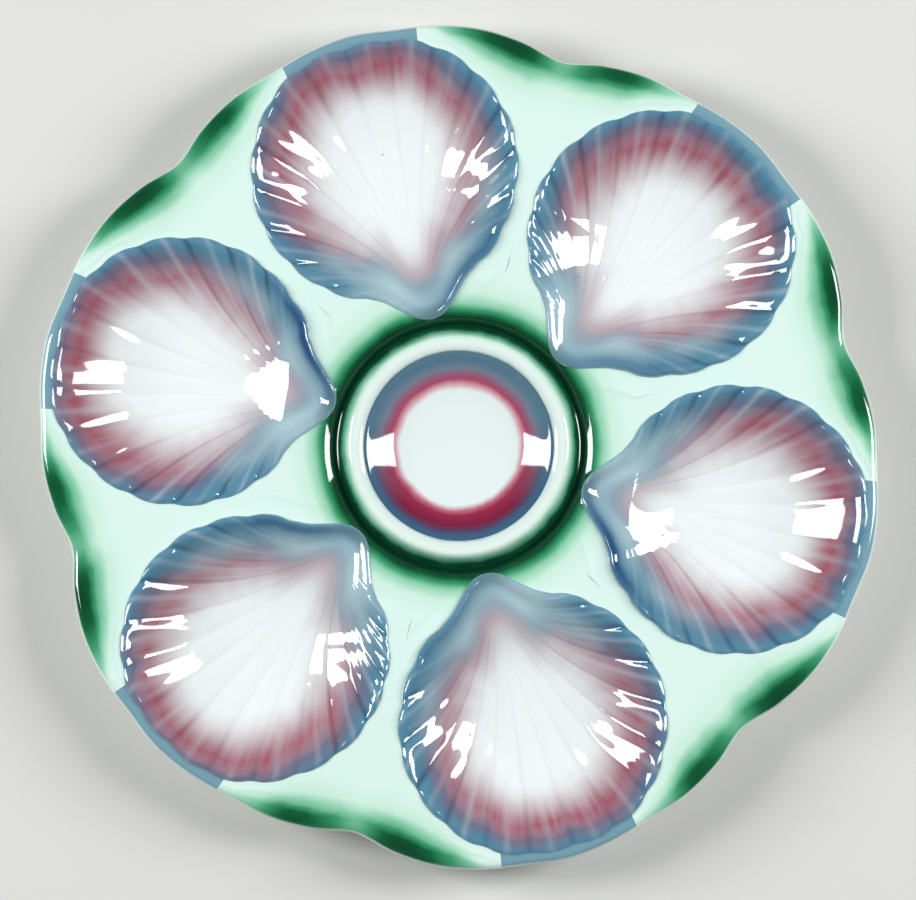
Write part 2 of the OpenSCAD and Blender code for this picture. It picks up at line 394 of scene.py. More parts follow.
def finished(piece):
    """Merges what coincides, turns every face outwards and smooths all but sharp edges."""
    alone(piece)
    bpy.ops.object.mode_set(mode="EDIT")
    bpy.ops.mesh.select_all(action="SELECT")
    bpy.ops.mesh.remove_doubles(threshold=merge_mm * MM)
    bpy.ops.mesh.delete_loose()
    bpy.ops.mesh.select_all(action="SELECT")
    bpy.ops.mesh.normals_make_consistent(inside=False)
    bpy.ops.object.mode_set(mode="OBJECT")
    bpy.ops.object.shade_smooth_by_angle(angle=math.radians(sharp_edge))
    return piece


def add_field(mesh, field, values):
    """Gives a mesh one value a point, for its paint to follow."""
    attribute = mesh.attributes.new(field, "FLOAT", "POINT")
    attribute.data.foreach_set("value", np.asarray(values, np.float32))


def make_piece(name, points, faces, fields, uv=None):
    """A piece from points in millimetres, with one attribute for each field of its paint."""
    mesh = bpy.data.meshes.new(name)
    mesh.from_pydata((points * MM).tolist(), [], [face.tolist() for face in faces])
    for field, values in fields.items():
        add_field(mesh, field, values)
    if uv is not None:
        mesh.uv_layers.new(name="ribs").data.foreach_set("uv", uv.astype(np.float32).ravel())
    piece = bpy.data.objects.new(name, mesh)
    bpy.context.scene.collection.objects.link(piece)
    return finished(piece)


def skin(rows):
    """Quads between neighbouring rows of point numbers, each row closed on itself."""
    rows = np.array(rows)
    after = np.roll(rows, -1, axis=1)
    return np.stack([rows[:-1], rows[1:], after[1:], after[:-1]], -1).reshape(-1, 4)


def numbered(grid, first=0):
    """Point numbers of a grid whose points are stored row by row."""
    return first + np.arange(grid.shape[0] * grid.shape[1]).reshape(grid.shape[:2])


def spun(name, section):
    """A round piece: its section, as radii and heights, spun about the plate's axis."""
    bpy.ops.object.select_all(action="DESELECT")
    bpy.ops.mesh.primitive_circle_add(vertices=len(section), radius=ring_r * MM)
    piece = bpy.context.object
    piece.name = piece.data.name = name
    for vertex, (r, z) in zip(piece.data.vertices, section):
        vertex.co = (r * MM, 0, z * MM)
    bpy.ops.object.mode_set(mode="EDIT")
    bpy.ops.mesh.select_all(action="SELECT")
    bpy.ops.mesh.spin(steps=spin_steps, angle=2 * math.pi, center=(0, 0, 0), axis=(0, 0, 1))
    bpy.ops.object.mode_set(mode="OBJECT")
    finished(piece)
    # The points that face down get the plain glaze of the back.
    add_field(piece.data, "back", [vertex.normal.z < 0 for vertex in piece.data.vertices])
    return piece


# The web between the shells, with a fold in it beside each beak and two strips where the mould's
# edge was trimmed
top_rows = 28
back_rows = 5
row_power = 1.4
fold_h = 0.3
fold_w = 0.9
fold_off = 5.6
trim_h = 0.22
trim_w = 0.6
trim_off = 2.3
fold_angle = beak_angle + 32
trim_angles = [50, 130]
fold_span = 26


def strip(distance, middle, width):
    """Smooth strip of height 1 that follows an outline at a distance from it."""
    return np.exp(-((distance - middle) / width) ** 2)


def web_relief(angle, outside):
    """Faint folds that the master shell left on the web, at a distance outside its outline."""
    fold = fold_h * bell(angle, fold_angle, fold_span) * strip(outside, fold_off, fold_w)
    trim = sum(bell(angle, middle, fold_span) for middle in trim_angles)
    return fold + trim_h * trim * strip(outside, trim_off, trim_w)


# How far the green is sprayed in from the rim, and how dark, in equal steps from notch to notch
green_reach = 9
green_reach_shares = [0.9, 1, 0.95, 0.6, 0.2, 0, 0, 0, 0.1, 0.65, 1, 1.05]
green_dark_shares = [0.45, 0.75, 0.86, 0.36, 0.1, 0, 0, 0, 0.05, 0.5, 0.88, 0.9]


def rim_fields(x, y, angle):
    """What the paint of the web and the edge follows: the way in from the rim, and how far in
    the green is sprayed there and how dark."""
    turn = (angle - first_well) / well_pitch + 0.5
    # The spray lists run clockwise, and the plate's angles run anticlockwise.
    return {
        "from_rim": rim_r(angle) - np.hypot(x, y),
        "spray_reach": green_reach * np.clip(spline_at(green_reach_shares, -turn), 0, None),
        "spray_dark": np.clip(spline_at(green_dark_shares, -turn), 0, 1),
    }


def make_ground():
    """The web in six sixths, each with a top, a back, a wall round the shell's opening, and
    a wall at the ring and at the rim."""
    angles = ray_angles()
    near, far = edge_r(angles), sector_edge(angles)
    points, faces, fields = [], [], []
    count = 0
    for number in range(well_count):
        grids = []
        for rows, power, lift in ((top_rows, row_power, 0), (back_rows, 1, -wall)):
            share = np.linspace(0, 1, rows)[:, None] ** power
            out = near + (far - near) * share
            x, y = out * cosd(angles), pitch_r + out * sind(angles)
            z = web_height(np.hypot(x, y)) + lift
            if lift == 0:
                z = z + pool(out - near) + web_relief(angles, out - near)
            grids.append(np.stack([x, y, z], -1))
        top = numbered(grids[0], count)
        back = numbered(grids[1], top[-1, -1] + 1)
        count = back[-1, -1] + 1
        flat = np.concatenate([grid.reshape(-1, 3) for grid in grids])
        edge = grids[0][-1]
        radius = np.hypot(edge[:, 0], edge[:, 1])
        rim = rim_r(plate_angle(edge[:, 0], edge[:, 1])) - edge_w
        on_arc = (np.abs(radius - ring_r) < touch_mm) | (np.abs(radius - rim) < touch_mm)
        walled = skin([top[-1], back[-1]])[on_arc & np.roll(on_arc, -1)]
        faces += [skin(top), skin(back[::-1]), skin([back[0], top[0]]), walled]
        fields.append({
            **rim_fields(flat[:, 0], flat[:, 1], plate_angle(flat[:, 0], flat[:, 1])),
            "back": np.repeat([0.0, 1.0], [top.size, back.size]),
        })
        points.append(rotated(flat, number))
    joined = {key: np.concatenate([f[key] for f in fields]) for key in fields[0]}
    return make_piece("mint_ground", np.concatenate(points), np.concatenate(faces), joined)


# The rounded edge of the dish
nose_rows = 14
edge_columns = 720
slope_step = 0.01
back_lean = -20


def make_rim_edge():
    """Half round in section, and leaning out with the web's slope."""
    angle = np.arange(edge_columns) * 360 / edge_columns
    inner = rim_r(angle) - edge_w
    lean = np.linspace(90, -90, nose_rows)[:, None]
    slope = (web_height(inner + slope_step) - web_height(inner - slope_step)) / (2 * slope_step)
    out = inner + edge_w * cosd(lean)
    z = web_height(inner) - wall / 2 + wall / 2 * sind(lean) + slope * edge_w * cosd(lean)
    x, y = out * cosd(angle), out * sind(angle)
    grid = np.stack([x, y, z], -1)
    rows = numbered(grid)
    flat = grid.reshape(-1, 3)
    fields = rim_fields(flat[:, 0], flat[:, 1], np.tile(angle, nose_rows))
    fields["back"] = np.repeat((lean[:, 0] < back_lean).astype(float), edge_columns)
    return make_piece("rounded_rim", flat, skin(np.concatenate([rows, rows[:1]])), fields)


# The shell wells
fan_rows = 48
roll_rows = 9
under_rows = 13
fan_row_power = 0.9
# Where the blue ends and the rose ends, in millimetres inside the outline, and how strong the
# rose is, in equal steps round a shell from its beak to the lip's side and on
blue_ends = [10, 10, 10, 8.8, 6.8, 5, 4.3, 4.3, 5, 6.8, 9, 10]
rose_ends = [19, 19, 19.5, 19, 17, 14.5, 13.5, 15, 16.5, 18.5, 19.5, 20]
rose_shares = [0.6, 0.65, 0.75, 0.85, 0.9, 1, 1.05, 1.05, 1, 0.9, 0.6, 0.4]
# Well by well: how dark the blue is beside the beak, darkest in the third and sixth wells; and,
# as the airbrush went, how much farther in the bands lie at the top of the fan
navy_shares = [0.35, 0.6, 1, 0.7, 0.35, 1]
band_shifts = [1.6, -0.6, -0.6, -2.4, 0.6, 0.6]
band_shift_span = 110
# The paint is full in the blue and the rose, and weaker towards the white floor.
full_paint = 1.5
least_paint = 0.3
groove_pull = 0.3
# How dark the grooves are painted and how pale the crests: pooled stain and painted shade, thin glaze and a
# painted highlight
groove_dark = 0.9
crest_light = 0.4
line_power = 7
# How far out from the hinge the ribs' streaks start, and where they are full
ray_start = 4
ray_full = 18
# A dark line of blue beside the beak, and patches where the glaze runs pale: how strong, how far
# round from the beak and over what span, how deep inside the outline and how wide
navy_line = (0.95, 28, 48, 2, 1.5)
pale_patches = [(0.9, -15, 30, 5, 7), (0.5, -45, 26, 7.5, 3), (0.75, 20, 26, 7.2, 4), (0.45, 62, 46, 8, 3)]
# The green round the centre drifts over the tip of the beak.
tip_strong = 0.6
tip_far = 7
tip_fade = 5
# The blue wears thin on the very edge, most of all at the beak.
thin_strong = 0.6
thin_w = 0.45
thin_beak_w = 0.6
thin_turn = 15
thin_span = 24
uv_apart = 40


def patch(angle, inside, strong, turn, span, deep, width):
    """A soft patch of paint that follows a shell's outline at some way round from its beak."""
    return strong * bell(angle, beak_angle + turn, span) * strip(inside, deep, width)


def well_paint(x, y, inside, line, number):
    """Fields that the airbrushed bands of a shell follow, and its dark grooves and pale crests,
    which are partly painted shade and a painted highlight. The line is -1 in the middle of a
    groove and 1 on a crest."""
    angle = np.degrees(np.arctan2(y - pitch_r, x))
    turn = (angle - beak_angle) / 360
    blue_end = spline_at(blue_ends, turn)
    band = spline_at(rose_ends, turn) - blue_end
    blue_end = blue_end + band_shifts[number] * bell(angle, beak_angle + 180, band_shift_span)
    way = (inside + groove_pull * line - blue_end) / band
    coloured = np.clip(full_paint - way, least_paint, 1)
    from_hinge = np.hypot(x - hinge_x, y - hinge_y)
    near_ring = np.clip((ring_r + tip_far - np.hypot(x, y)) / tip_fade, 0, 1)
    thin_out = thin_w + thin_beak_w * bell(angle, beak_angle + thin_turn, thin_span)
    return {
        "way": way,
        "rose": spline_at(rose_shares, turn),
        # Dark grooves: pooled stain and painted shade. Pale crests: thin glaze and a painted highlight.
        "groove": groove_dark * np.clip(-line, 0, 1) * coloured,
        "crest": crest_light * np.clip(line, 0, 1) * coloured,
        "ray": np.clip((from_hinge - ray_start) / (ray_full - ray_start), 0, 1),
        "navy": navy_shares[number] * patch(angle, inside, *navy_line),
        "pale": sum(patch(angle, inside, *pale) for pale in pale_patches),
        "tip": tip_strong * near_ring,
        "thin": thin_strong * np.clip(1 - inside / thin_out, 0, 1),
    }


def shell_angles():
    """Directions from the middle of a shell, from its beak round: the web's, and one more
    between each two."""
    angles = ray_angles()
    angles = beak_angle + np.sort((angles - beak_angle) % 360)
    between = (angles + np.append(angles[1:], angles[0] + 360)) / 2
    return np.sort(np.concatenate([angles, between]))


def rib_uv(angles, way, number):
    """Rib number and way along the rib, for every corner of every face of a shell."""
    rib = rib_count * (angles - beak_angle) / 360 + uv_apart * number
    rib_after = np.append(rib[1:], rib[0] + rib_count)
    low, high = way[:-1, None] + 0 * rib, way[1:, None] + 0 * rib
    here, there = rib + 0 * low, rib_after + 0 * low
    start, first, last = (along + 0 * rib for along in (0, way[0], way[-1]))
    quads = [(here, low), (here, high), (there, high), (there, low)]
    hinge_fan = [(rib, start), (rib, first), (rib_after, first)]
    back_fan = [(rib, last), (rib_after, last), (rib, last)]
    corners = [np.stack([np.stack(corner, -1) for corner in face], -2)
               for face in (quads, hinge_fan, back_fan)]
    return np.concatenate([corner.reshape(-1, 2) for corner in corners])


def make_well(number):
    """One shell: its ribbed inside, the rolled lip, the wall that meets the web, and the back."""
    angles = shell_angles()
    columns = len(angles)
    edge_x, edge_y = edge_r(angles) * cosd(angles), pitch_r + edge_r(angles) * sind(angles)
    # The inside fans out from the hinge along bent ribs, and then rolls over the lip.
    ray_x, ray_y = edge_x - hinge_x, edge_y - hinge_y
    length = np.hypot(ray_x, ray_y)
    fan = near_zero(np.degrees(np.arctan2(ray_y, ray_x)) - beak_angle - 180)
    share = (np.linspace(0, 1, fan_rows + 1)[1:] ** fan_row_power)[:, None]
    turned = fan - fan_bend * (1 - share) * sind(fan) + beak_angle + 180
    out = share * (length - lip_w)
    off = lip_w * sind(np.linspace(0, 90, roll_rows + 1)[1:])[:, None] + length - lip_w
    x = np.concatenate([hinge_x + out * cosd(turned), hinge_x + off * ray_x / length])
    y = np.concatenate([hinge_y + out * sind(turned), hinge_y + off * ray_y / length])
    along = np.concatenate([share + 0 * out, 1 + 0 * off])
    z, inside = well_top(x, y, angles, np.concatenate([out, off]), along)
    top = np.stack([x, y, z], -1)
    # The first row of the back is the foot of the wall that meets the web.
    shares = np.linspace(1, 0, under_rows + 1)[:-1, None]
    back_x, back_y = edge_x * shares, pitch_r + (edge_y - pitch_r) * shares
    back_z = under_z + (edge_web(angles) - floor_z) * shares ** under_power
    back = np.stack([back_x, back_y, back_z], -1)
    hinge = well_top(np.array(hinge_x), np.array(hinge_y), np.array(beak_angle), 0, 0)
    hinge_top, hinge_inside = (float(value) for value in hinge)
    poles = np.array([[hinge_x, hinge_y, hinge_top], [0, pitch_r, under_z]])

    rows = numbered(np.concatenate([top, back]))
    flat = np.concatenate([top.reshape(-1, 3), back.reshape(-1, 3), poles])
    first, last = len(flat) - 2, len(flat) - 1
    after = np.roll(rows, -1, axis=1)
    hinge_fan = np.stack([np.full(columns, first), rows[0], after[0]], -1)
    back_fan = np.stack([np.full(columns, last), after[-1], rows[-1]], -1)
    faces = list(skin(rows)) + list(hinge_fan) + list(back_fan)

    on_back = np.zeros(back[..., 0].size)
    inside = np.concatenate([inside.ravel(), on_back, [hinge_inside, 0]])
    line = cosd(rib_count * (angles - beak_angle)) ** line_power * rib_strength(angles) * along
    line = np.append(line, np.zeros(len(flat) - line.size))
    fields = well_paint(flat[:, 0], flat[:, 1], inside, line, number)
    fields["back"] = np.concatenate([np.zeros(top[..., 0].size), on_back + 1, [0, 1]])
    uv = rib_uv(angles, np.concatenate([along[:, 0], np.linspace(1, 2, len(back))]), number)
    return make_piece(f"scallop_well_{number + 1}", rotated(flat, number), faces, fields, uv)


# The raised ring, the sauce cup and the foot
ring_rows = 20
cup_rows = 40


def make_cup_ring():
    """A step up from the cup's edge, a round crest, and a hollow back."""
    crest_r = cup_r + ring_w * ring_crest_share
    t = np.linspace(0, 1, ring_rows)
    step_z = cup_edge_z + cup_step * sind(90 * t)
    inner = np.column_stack([cup_r + (crest_r - cup_r) * t ** 2, step_z])
    crest_z = groove_z + (ring_top_z - groove_z) * (1 + cosd(180 * t)) / 2
    outer = np.column_stack([crest_r + (ring_r - crest_r) * t, crest_z])[1:]
    hollow_z = groove_z - wall + wall * ring_hollow_share * sind(180 * t)
    under = np.column_stack([ring_r - ring_w * t, hollow_z])
    return spun("raised_ring", np.concatenate([inner, outer, under]))


def cup_climb(share):
    """The cup is a shallow dish, then a wall that rounds over into a shoulder."""
    climb = cup_dish_share * share ** cup_dish_power
    climb = climb + cup_wall_share * (share / cup_throat_share) ** cup_wall_power
    return climb / (1 + climb ** cup_round) ** (1 / cup_round)


def make_sauce_cup():
    t = np.linspace(0, 1, cup_rows)
    rise = cup_climb(t) / cup_climb(1)
    inside = np.column_stack([cup_r * t, cup_floor_z + cup_depth * rise])
    under = np.column_stack([cup_r * t, cup_under_z + (groove_z - cup_floor_z) * rise])[::-1]
    return spun("glazed_sauce_cup", np.concatenate([inside, under]))


# The foot: the rows up each side, how far its hidden top goes into the back, and where the
# fillet under the back starts and the bevel is rounded
foot_columns = 720
foot_rows = 7
foot_first_row = 0.25
foot_sink = 0.4
foot_fillet = 1.4
fillet_start = 0.7
bevel_middle = 0.3


def make_foot():
    """Both sides lean by the draft and flare into the back of the plate, where the hidden top
    of the foot follows the shells."""
    angle = np.arange(foot_columns) * 360 / foot_columns
    shell_angle = (angle - first_well + half_pitch) % well_pitch - half_pitch + 90

    def row(radius, z):
        return np.stack([radius * cosd(angle), radius * sind(angle), z + 0 * angle], -1)

    sides = []
    for side in (1, -1):
        bottom = foot_r + side * foot_w / 2
        rows = [row(bottom - side * foot_bevel, 0),
                row(bottom - side * foot_bevel * bevel_middle, foot_bevel * bevel_middle),
                row(bottom, foot_bevel)]
        for share in np.linspace(foot_first_row, 1, foot_rows):
            lean = web_z / 2 * math.tan(math.radians(foot_draft)) * share
            flare = foot_fillet * (max(0, share - fillet_start) / (1 - fillet_start)) ** 2
            radius = bottom + side * (lean + flare)
            ceiling = under_height(radius * cosd(shell_angle), radius * sind(shell_angle)) + foot_sink
            rows.append(row(radius, foot_bevel + (ceiling - foot_bevel) * share))
        sides.append(rows)
    # Down the inner side, across the face, up the outer side, and back over the hidden top
    outer, inner = sides
    grid = np.stack(inner[::-1] + outer)
    rows = numbered(grid)
    faces = skin(np.concatenate([rows, rows[:1]]))
    return make_piece("turned_foot", grid.reshape(-1, 3), faces, {})


# Glaze: clear lead glaze bends light more than window glass. It lies in soft waves, with a faint
# orange peel, and an iron speck burns through here and there. Sizes in millimetres.
lead_ior = 1.7
gloss = 0.055
rim_gloss = 0.06
foot_gloss = 0.1
wave_mm = 6.5
wave_detail = 1.5
wave_h = 0.035
peel_mm = 1.2
peel_detail = 2
peel_share = 0.06
bump_filter = 0.1
speck_apart = 7
speck_size = 0.035
speck_rarity = 0.86
IRON = "#3a3230"
MINT = "#dff9f1"
BACK_GLAZE = "#e6f4ee"
PALE_EDGE = "#eff9f4"


def paint(code):
    """A colour as it is written, #rrggbb, made linear for the shader."""
    parts = [int(code[i:i + 2], 16) / 255 for i in (1, 3, 5)]
    return [c / 12.92 if c <= 0.04045 else ((c + 0.055) / 1.055) ** 2.4 for c in parts] + [1]


def add(tree, kind, *values, output=0, stops=(), **settings):
    """Adds a node with its settings and a ramp's stops, gives its open inputs their values or
    links, and returns one of its open outputs, by number or by name."""
    made = tree.nodes.new("ShaderNode" + kind)
    for name, setting in settings.items():
        setattr(made, name, setting)
    for socket, value in zip([socket for socket in made.inputs if socket.enabled], values):
        if isinstance(value, bpy.types.NodeSocket):
            tree.links.new(value, socket)
        else:
            socket.default_value = value
    for number, (place, tone) in enumerate(stops):
        ramp = made.color_ramp.elements
        step = ramp[number] if number < len(ramp) else ramp.new(place)
        step.position = place
        step.color = paint(tone) if isinstance(tone, str) else [tone, tone, tone, 1]
    if isinstance(output, str):
        return made.outputs[output]
    return [socket for socket in made.outputs if socket.enabled][output]


def start_glaze(name, roughness):
    """A material whose shader is a clear lead glaze over a painted body, and the place on the
    piece that its patterns follow."""
    material = bpy.data.materials.new(name)
    material.use_nodes = True
    tree = material.node_tree
    shader = tree.nodes["Principled BSDF"]
    shader.inputs["IOR"].default_value = lead_ior
    shader.inputs["Roughness"].default_value = roughness
    return material, tree, shader, add(tree, "TexCoord", output="Object")


def per_mm(size):
    """The scale of a noise whose lumps are that many millimetres across."""
    return 1 / (size * MM)


def spread_out(stops, low, high):
    """Stops given as places between two ends, made shares of the way from one to the other."""
    return [((at - low) / (high - low), tone) for at, tone in stops]


def glaze_surface(tree, shader, place, colour):
    """Joins the colour, a plain glaze on the back, the odd iron speck, and the soft unevenness
    of a poured glaze."""
    back = add(tree, "Attribute", attribute_name="back", output="Fac")
    colour = add(tree, "Mix", back, colour, paint(BACK_GLAZE), data_type="RGBA")
    nearness = add(tree, "TexVoronoi", place, per_mm(speck_apart), output="Distance")
    cell = add(tree, "TexVoronoi", place, per_mm(speck_apart), output="Color")
    size = add(tree, "Math", add(tree, "SeparateColor", cell), speck_size, operation="MULTIPLY")
    dot = add(tree, "Math", nearness, size, operation="LESS_THAN")
    chance = add(tree, "SeparateColor", cell, output="Green")
    rare = add(tree, "Math", chance, speck_rarity, operation="GREATER_THAN")
    speck = add(tree, "Math", dot, rare, operation="MULTIPLY")
    specked = add(tree, "Mix", speck, colour, paint(IRON), data_type="RGBA")
    tree.links.new(specked, shader.inputs["Base Color"])
    waves = add(tree, "TexNoise", place, per_mm(wave_mm), wave_detail)
    peel = add(tree, "TexNoise", place, per_mm(peel_mm), peel_detail)
    height = add(tree, "Math", peel, peel_share, waves, operation="MULTIPLY_ADD")
    bump = add(tree, "Bump", 1, wave_h * MM, bump_filter, height)
    tree.links.new(bump, shader.inputs["Normal"])


# Green sprayed in from the rim, whose stops span twice the spray's reach, and round the ring,
# whose stops span a width in millimetres. A mist roughens both edges.
mist_mm = 9
mist_detail = 3
spray_way = 2
spray_mist = 0.3
least_reach = 0.05
rim_spray_stops = [(0, 0.82), (0.1, 1.0), (0.22, 0.95), (0.36, 0.5), (0.55, 0.16), (0.8, 0.03), (1, 0.0)]
ring_spray_mm = 16
ring_spray_start = ring_r - 2
ring_mist_mm = 1.6
ring_mist_share = ring_mist_mm / ring_spray_mm
ring_spray_stops = [(0, 0.0), (0.04, 0.9), (0.1, 1.0), (0.24, 0.98), (0.36, 0.66), (0.5, 0.3),
                    (0.7, 0.1), (1, 0.0)]
green_stops = [(0, MINT), (0.12, "#cdf2e0"), (0.3, "#8fd3b2"), (0.55, "#3d9c70"), (0.8, "#076038"),
               (1, "#002f1d")]
# Blue runs from the top of each fan over the land to the rim, with a hard step at each end.
blue_land_half = 9.6
blue_land_turn = 0.4
LAND_BLUE = "#638ea6"
LAND_PALE = "#82adb9"
land_fade_mm = 6
thin_edge_mm = 0.75


def from_axis(tree, place):
    """Distance from the plate's axis, in metres."""
    flat = add(tree, "VectorMath", place, (1, 1, 0), operation="MULTIPLY")
    return add(tree, "VectorMath", flat, operation="LENGTH")


def sprayed_web(tree, place, white_edge):
    """Mint ground with green sprayed at the notches and round the centre, and blue at the fan
    tops. On the rim the glaze wears thin along the very edge."""
    radius = from_axis(tree, place)
    mist = add(tree, "TexNoise", place, per_mm(mist_mm), mist_detail)
    from_rim = add(tree, "Attribute", attribute_name="from_rim", output="Fac")
    spray_reach = add(tree, "Attribute", attribute_name="spray_reach", output="Fac")
    spray_dark = add(tree, "Attribute", attribute_name="spray_dark", output="Fac")
    sprayed_in = add(tree, "Math", spray_reach, least_reach, operation="MAXIMUM")
    way = add(tree, "Math", from_rim, sprayed_in, operation="DIVIDE")
    way = add(tree, "Math", way, spray_mist / 2, operation="SUBTRACT")
    way = add(tree, "Math", mist, spray_mist, way, operation="MULTIPLY_ADD")
    way = add(tree, "Math", way, spray_way, operation="DIVIDE")
    rim_spray = add(tree, "ValToRGB", way, stops=rim_spray_stops)
    rim_green = add(tree, "Math", rim_spray, spray_dark, operation="MULTIPLY")
    out = add(tree, "MapRange", radius, ring_spray_start * MM, (ring_spray_start + ring_spray_mm) * MM)
    out = add(tree, "Math", mist, ring_mist_share, out, operation="MULTIPLY_ADD")
    out = add(tree, "Math", out, ring_mist_share / 2, operation="SUBTRACT")
    ring_green = add(tree, "ValToRGB", out, stops=ring_spray_stops)
    green = add(tree, "Math", rim_green, ring_green, operation="MAXIMUM")
    colour = add(tree, "ValToRGB", green, stops=green_stops)

    x = add(tree, "SeparateXYZ", place, output="X")
    y = add(tree, "SeparateXYZ", place, output="Y")
    turn = add(tree, "Math", y, x, operation="ARCTAN2")
    middle, half = math.radians(first_well + blue_land_turn), math.radians(half_pitch)
    off_axis = add(tree, "Math", turn, middle, operation="SUBTRACT")
    off_axis = add(tree, "Math", off_axis, half, -half, operation="WRAP")
    off_axis = add(tree, "Math", off_axis, operation="ABSOLUTE")
    blue = add(tree, "Math", off_axis, math.radians(blue_land_half), operation="LESS_THAN")
    outer = add(tree, "Math", radius, pitch_r * MM, operation="GREATER_THAN")
    land = add(tree, "Math", blue, outer, operation="MULTIPLY")
    inward = add(tree, "Math", from_rim, land_fade_mm, operation="DIVIDE", use_clamp=True)
    tops = add(tree, "Mix", inward, paint(LAND_PALE), paint(LAND_BLUE), data_type="RGBA")
    colour = add(tree, "Mix", land, colour, tops, data_type="RGBA")
    if white_edge:
        thin = add(tree, "MapRange", from_rim, 0, thin_edge_mm, 1, 0)
        colour = add(tree, "Mix", thin, colour, paint(PALE_EDGE), data_type="RGBA")
    return colour


def web_material(name, white_edge):
    # Lead glaze over sprayed stains: glassy, so the room shows in it, with soft edges to each colour.
    material, tree, shader, place = start_glaze(name, rim_gloss)
    glaze_surface(tree, shader, place, sprayed_web(tree, place, white_edge))
    return material


# Colours across a shell's bands: the way is 0 where the blue ends and 1 where the rose does.
way_ends = (-1.2, 1.8)
blue_stops = [(-1.2, "#6095ad"), (-0.5, "#588ba5"), (-0.12, "#507e99"), (0.1, "#8caebe"), (0.3, "#c8d5da"),
              (0.5, "#dae3e6"), (0.8, "#e7eff0"), (1.2, "#eff7f7")]
rose_stops = [(-0.45, 0.0), (-0.15, 0.36), (0.06, 0.7), (0.28, 0.9), (0.5, 0.75), (0.72, 0.53), (0.95, 0.33),
              (1.2, 0.13), (1.5, 0.0)]
ROSE = "#a85f70"
DEEP_ROSE = "#944e5c"
# The groove colour paints shade as well as pooled stain; the crest colour paints a highlight as well as thin
# glaze.
GROOVE_SHADE = "#7f8ea6"
CREST = "#cfe0e8"
BEAK_PALE = "#b8d4da"
NAVY = "#194778"
BEAK_GREEN = "#0b4a45"
THIN_BLUE = "#9fbcc7"
# Streaks of paint, counted in ribs across and in lengths of a shell along, and its clouds
broad_streaks = (0.9, 0.9, 0)
broad_detail = 2
fine_streaks = (5, 0.8, 0)
fine_detail = 3
cloud_mm = 14
cloud_detail = 2
# How far the streaks and clouds pull the bands from their place, and how uneven they make the rose
broad_pull = 0.4
fine_pull = 0.12
cloud_pull = 0.14
rose_least = 0.55
rose_streaks = 0.9
# How uneven the grooves' stain and painted shade and the crests' painted highlight are, and
# where and how far the grooves redden past the rose
line_uneven_gain = 1.8
line_uneven_least = -0.25
red_ends = (0.2, 0.8)
red_most = 0.6


def well_material():
    # Blue and rose stains sprayed in bands under a lead glaze, which runs thin on crests and
    # pools in grooves. The dark grooves are also painted shade, and the pale crests a painted
    # highlight.
    name = "lead-glazed earthenware, blue and rose shell"
    material, tree, shader, place = start_glaze(name, gloss)
    ribs = add(tree, "UVMap", uv_map="ribs")
    broad = add(tree, "VectorMath", ribs, broad_streaks, operation="MULTIPLY")
    broad = add(tree, "TexNoise", broad, 1, broad_detail)
    fine = add(tree, "VectorMath", ribs, fine_streaks, operation="MULTIPLY")
    fine = add(tree, "TexNoise", fine, 1, fine_detail)
    cloud = add(tree, "TexNoise", place, per_mm(cloud_mm), cloud_detail)
    # At the hinge the ribs run together, so the paint there is clouded rather than streaked.
    ray = add(tree, "Attribute", attribute_name="ray", output="Fac")
    broad = add(tree, "Mix", ray, cloud, broad)
    fine = add(tree, "Mix", ray, cloud, fine)

    way = add(tree, "Attribute", attribute_name="way", output="Fac")
    ragged = add(tree, "Math", broad, broad_pull, way, operation="MULTIPLY_ADD")
    ragged = add(tree, "Math", fine, fine_pull, ragged, operation="MULTIPLY_ADD")
    ragged = add(tree, "Math", ragged, (broad_pull + fine_pull) / 2, operation="SUBTRACT")
    across = add(tree, "MapRange", ragged, *way_ends)
    colour = add(tree, "ValToRGB", across, stops=spread_out(blue_stops, *way_ends))
    clouded = add(tree, "Math", across, cloud_pull / 2, operation="SUBTRACT")
    clouded = add(tree, "Math", cloud, cloud_pull, clouded, operation="MULTIPLY_ADD")
    hump = add(tree, "ValToRGB", clouded, stops=spread_out(rose_stops, *way_ends))
    streak = add(tree, "Math", fine, rose_streaks, rose_least, operation="MULTIPLY_ADD")
    strength = add(tree, "Attribute", attribute_name="rose", output="Fac")
    strength = add(tree, "Math", strength, streak, operation="MULTIPLY")
    rose = add(tree, "Math", hump, strength, operation="MULTIPLY", use_clamp=True)
    colour = add(tree, "Mix", rose, colour, paint(ROSE), data_type="RGBA")

    # Stain pools dark along each groove, red in the rose band, and the glaze is thin on the
    # crests. The dark grooves are partly painted shade, and the pale crests partly a painted highlight.
    groove = add(tree, "Attribute", attribute_name="groove", output="Fac")
    crest = add(tree, "Attribute", attribute_name="crest", output="Fac")
    uneven = add(tree, "Math", broad, line_uneven_gain, line_uneven_least, operation="MULTIPLY_ADD", use_clamp=True)
    pooled_stain_and_shade = add(tree, "Math", groove, uneven, operation="MULTIPLY")
    thin_glaze_and_highlight = add(tree, "Math", crest, uneven, operation="MULTIPLY")
    shaded = add(tree, "Mix", 1, colour, paint(GROOVE_SHADE), data_type="RGBA", blend_type="MULTIPLY")
    red = add(tree, "MapRange", ragged, *red_ends, 0, red_most)
    red = add(tree, "Math", rose, red, operation="MAXIMUM")
    shaded = add(tree, "Mix", red, shaded, paint(DEEP_ROSE), data_type="RGBA")
    colour = add(tree, "Mix", pooled_stain_and_shade, colour, shaded, data_type="RGBA")
    colour = add(tree, "Mix", thin_glaze_and_highlight, colour, paint(CREST), data_type="RGBA")
    for name, tone in [("pale", BEAK_PALE), ("navy", NAVY), ("tip", BEAK_GREEN), ("thin", THIN_BLUE)]:
        amount = add(tree, "Attribute", attribute_name=name, output="Fac")
        colour = add(tree, "Mix", amount, colour, paint(tone), data_type="RGBA")
    glaze_surface(tree, shader, place, colour)
    return material


